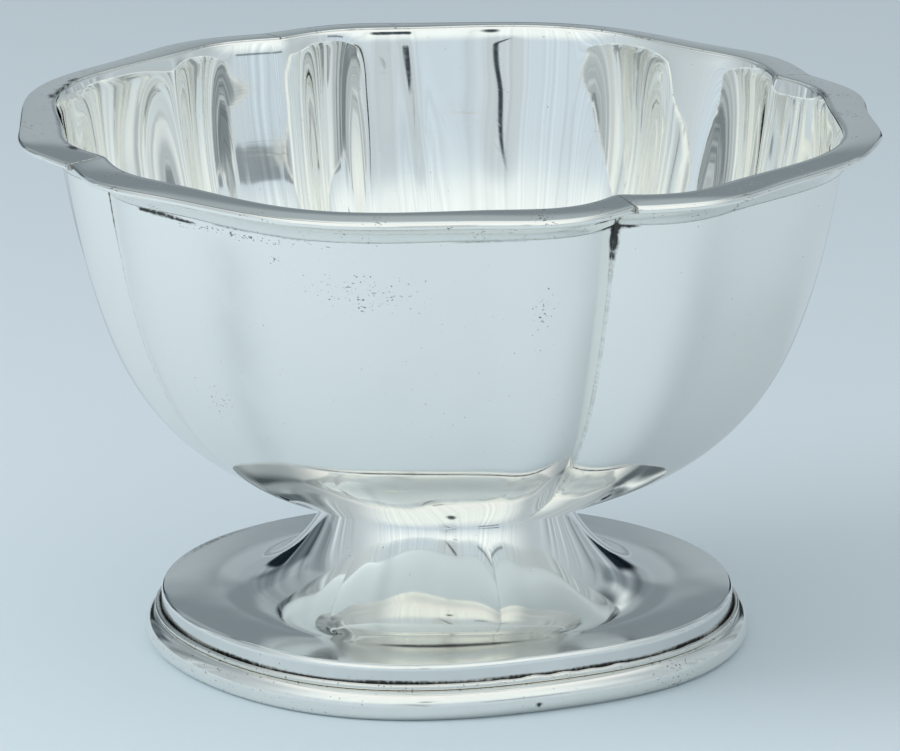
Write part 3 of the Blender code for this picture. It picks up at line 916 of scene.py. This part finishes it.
# painted shade, seen only in the silver: the paper right behind the bowl is darkened
shade = times(tree, in_mirror, soft_step(tree, to_back, *SHADE_BEHIND, most=SHADE_MOST))
shade = times(tree, shade, soft_step(tree, math_node(tree, "ABSOLUTE", to_right), *SHADE_BESIDE))
# painted light falloff: the paper's colour darkens towards the back and a little towards the right
away = plus(tree, to_back, times(tree, to_right, PALE_TO_RIGHT))
pale = mixed(tree, soft_step(tree, away, *PALE_TO_BACK), TABLE_COLOUR, TABLE_BACK)
table_shader = tree.nodes["Principled BSDF"]
tree.links.new(mixed(tree, shade, pale, TABLE_SHADE), table_shader.inputs["Base Color"])
table_shader.inputs["Roughness"].default_value = TABLE_ROUGHNESS
table_shader.inputs["Specular IOR Level"].default_value = TABLE_SHEEN
table_top.data.materials.append(table_paper)
table_top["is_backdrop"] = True


# The light: a tent of white cloth round the table, brightest overhead, with gaps beside its back paper
# and an opening for the lens. Matt surfaces get its even light; the silver mirrors its parts. A lamp
# outside the tent lays the shadow to the right.

CLOTH_TINT = np.array([1.0, 13.0, 20.0])  # what its cool white adds to a display tone of 0 to 255
COOLER = np.array([-1.0, 0.0, 1.0])
# Tones of the cloth by azimuth: degrees to the right of the lens, at the height of the bowl.
WALL_TONES = (
    (-180, 166), (-172, 160), (-160, 142), (-145, 150), (-125, 162), (-112, 182), (-97, 184),
    (-75, 202), (-50, 208), (0, 208), (40, 203), (61, 194), (82, 181), (105, 186), (130, 170),
    (145, 163), (160, 150), (172, 158), (180, 166),
)
FRONT_COOL = 4.0                    # how much cooler the cloth at the front is
FRONT_COOL_HALF = 50.0
FRONT_TONE = 244                    # the front higher up
FRONT_RISE = (8.0, 27.0)
FRONT_HALF = (90.0, 40.0)
TOP_TONE = 250
TOP_RISE = (40.0, 64.0)
# Each patch of the tent that differs: middle and half width in azimuth, then in rise, its climb per degree
# of azimuth, lean per degree of rise, squareness, softness and tone.
PATCHES = (
    ("folds at the back left", -132.0, 10.0, 17.0, 13.0, 0.66, 0.0, 6.0, 0.15, 138),
    ("folds nearer the gap", -147.0, 8.0, 8.0, 12.0, 0.66, 0.0, 6.0, 0.15, 88),
    ("gap at the back left", -161.0, 5.5, 2.0, 9.0, 0.66, 0.0, 6.0, 0.12, 20),
    ("folds over the gap", -157.0, 9.0, 16.5, 4.0, 0.0, 0.0, 2.0, 0.5, 92),
    ("light between the folds", -143.0, 6.0, 22.0, 4.0, 0.0, 0.0, 2.0, 0.5, 168),
    ("folds at the back right", 151.5, 5.0, 22.0, 4.5, -0.66, 0.0, 2.0, 0.6, 108),
    ("gap at the back right", 163.0, 5.0, 2.0, 10.0, -0.66, 0.0, 6.0, 0.2, 20),
    ("seam of the back paper", 180.0, 2.4, 10.0, 7.0, 0.0, 0.0, 2.0, 0.9, 128),
    ("shade above the back paper", 180.0, 32.0, 21.0, 4.2, 0.0, 0.0, 4.0, 0.45, 124),
    ("light over the back paper", 180.0, 24.0, 42.0, 9.0, 0.3, 0.0, 4.0, 0.3, 240),
    ("shade high at the back left", -163.0, 12.0, 46.0, 9.0, 0.0, 0.0, 2.0, 0.5, 70),
    ("shade high at the back right", 157.0, 10.0, 38.0, 7.0, 0.0, 0.0, 2.0, 0.5, 90),
    ("shade round the lens", 1.0, 10.0, 6.0, 13.0, 0.0, 0.0, 2.0, 0.4, 198),
    ("opening for the lens", 5.0, 1.0, 6.0, 9.0, 0.0, 0.6, 2.0, 0.35, 46),
    ("hood over the lens", 8.0, 3.0, 30.5, 3.5, 0.0, 0.0, 2.0, 0.4, 60),
    ("stand at the front right", 39.5, 10.5, 10.5, 2.0, 0.0, 0.0, 8.0, 0.1, 138),
)
# Folds that hang in the cloth at the back, and ripples at the front: waves per degree, detail and swing.
FOLD = (0.16, 2.0, 1.9)
RIPPLE = (0.42, 3.0, 0.55)
FOLD_SIDES = (90.0, 112.0)          # azimuths between which the folds set in, and die out again
FOLD_ENDS = (172.0, 166.0)
FOLD_RISE = (40.0, 12.0)
RIPPLE_SIDES = (85.0, 50.0)
EVEN_LIGHT = (0.78, 0.78, 0.78)
LAMP_PLACE = Vector((-0.85, -0.55, 0.75))
LAMP_POWER = 5.5
LAMP_SIZE = 0.7
DEGREES = 180.0 / math.pi


def linear_light(display):
    """Linear light from display values of 0 to 255, by the curve of the sRGB standard."""
    share = display / 255.0
    return tuple(np.where(share <= 0.04045, share / 12.92, ((share + 0.055) / 1.055) ** 2.4))


def cloth(tone, cool=0.0):
    """Colour of the tent at a display tone: a cool white, and how much cooler than that."""
    return linear_light(np.minimum(tone + CLOTH_TINT + cool * COOLER, 255.0))


def hanging(tree, azimuth, scale, detail, swing):
    """Upright bands of the tent: noise along the azimuth, about nought, times a swing."""
    node = tree.nodes.new("ShaderNodeTexNoise")
    node.noise_dimensions = "1D"
    node.inputs["Scale"].default_value = scale
    node.inputs["Detail"].default_value = detail
    tree.links.new(azimuth, node.inputs["W"])
    return times(tree, minus(tree, node.outputs[0], 0.5), swing)


def patch_edge(tree, value, half, square):
    """One direction's part of a patch's rounded outline: the share of the half width, to a power."""
    share = math_node(tree, "ABSOLUTE", math_node(tree, "DIVIDE", value, half))
    return math_node(tree, "POWER", share, square)


world = bpy.data.worlds.new("tent")
world.use_nodes = True
bpy.context.scene.world = world
tree = world.node_tree
tree.nodes.clear()
tent_turn = tree.nodes.new("ShaderNodeVectorRotate")
tent_turn.rotation_type = "Z_AXIS"
tent_turn.inputs["Angle"].default_value = -CAMERA_AZIMUTH
tree.links.new(tree.nodes.new("ShaderNodeTexCoord").outputs["Generated"], tent_turn.inputs["Vector"])
tent_split = tree.nodes.new("ShaderNodeSeparateXYZ")
tree.links.new(tent_turn.outputs[0], tent_split.inputs[0])
to_lens = times(tree, tent_split.outputs["Y"], -1.0)
azimuth = times(tree, math_node(tree, "ARCTAN2", tent_split.outputs["X"], to_lens), DEGREES)
rise = times(tree, math_node(tree, "ARCSINE", tent_split.outputs["Z"]), DEGREES)
sideways = math_node(tree, "ABSOLUTE", azimuth)

ramp = tree.nodes.new("ShaderNodeValToRGB")
tree.links.new(math_node(tree, "DIVIDE", plus(tree, azimuth, 180.0), 360.0), ramp.inputs["Fac"])
while len(ramp.color_ramp.elements) < len(WALL_TONES):
    ramp.color_ramp.elements.new(0.5)
for element, (degrees, tone) in zip(ramp.color_ramp.elements, WALL_TONES):
    element.position = (degrees + 180.0) / 360.0
    element.color = (*cloth(tone, FRONT_COOL * (abs(degrees) <= FRONT_COOL_HALF)), 1.0)
ahead = times(tree, soft_step(tree, rise, *FRONT_RISE), soft_step(tree, sideways, *FRONT_HALF))
tent = mixed(tree, ahead, ramp.outputs["Color"], cloth(FRONT_TONE))
tent = mixed(tree, soft_step(tree, rise, *TOP_RISE), tent, cloth(TOP_TONE))

for name, middle, half, height, half_height, climb, lean, square, soft, tone in PATCHES:
    beside = math_node(tree, "WRAP", minus(tree, azimuth, middle), 180.0, -180.0)
    above = minus(tree, rise, height)
    across = patch_edge(tree, plus(tree, beside, times(tree, above, lean)), half, square)
    upward = patch_edge(tree, minus(tree, above, times(tree, beside, climb)), half_height, square)
    from_middle = math_node(tree, "POWER", plus(tree, across, upward), 1.0 / square)
    tent = mixed(tree, soft_step(tree, from_middle, 1.0 + soft, 1.0 - soft), tent, cloth(tone))
    tent.node.label = name

fold_depth = times(tree, soft_step(tree, sideways, *FOLD_SIDES), soft_step(tree, rise, *FOLD_RISE))
fold_depth = times(tree, fold_depth, soft_step(tree, sideways, *FOLD_ENDS))
gain = plus(tree, times(tree, hanging(tree, azimuth, *FOLD), fold_depth), 1.0)
ripples = hanging(tree, azimuth, *RIPPLE)
gain = plus(tree, gain, times(tree, ripples, soft_step(tree, sideways, *RIPPLE_SIDES)))
hung = tree.nodes.new("ShaderNodeVectorMath")
hung.operation = "SCALE"
tree.links.new(tent, hung.inputs[0])
tree.links.new(gain, hung.inputs["Scale"])

rays = tree.nodes.new("ShaderNodeLightPath")
seen = math_node(tree, "MAXIMUM", rays.outputs["Is Glossy Ray"], rays.outputs["Is Camera Ray"])
light = tree.nodes.new("ShaderNodeBackground")
tree.links.new(mixed(tree, seen, EVEN_LIGHT, hung.outputs[0]), light.inputs["Color"])
tree.links.new(light.outputs[0], tree.nodes.new("ShaderNodeOutputWorld").inputs[0])

lamp = bpy.data.objects.new("lamp", bpy.data.lights.new("lamp", "AREA"))
lamp.data.energy = LAMP_POWER
lamp.data.size = LAMP_SIZE
lamp.location = LAMP_PLACE
lamp.rotation_mode = "QUATERNION"
lamp.rotation_quaternion = LAMP_PLACE.to_track_quat("Z", "Y")
lamp.visible_glossy = False
bpy.context.scene.collection.objects.link(lamp)

low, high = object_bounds()
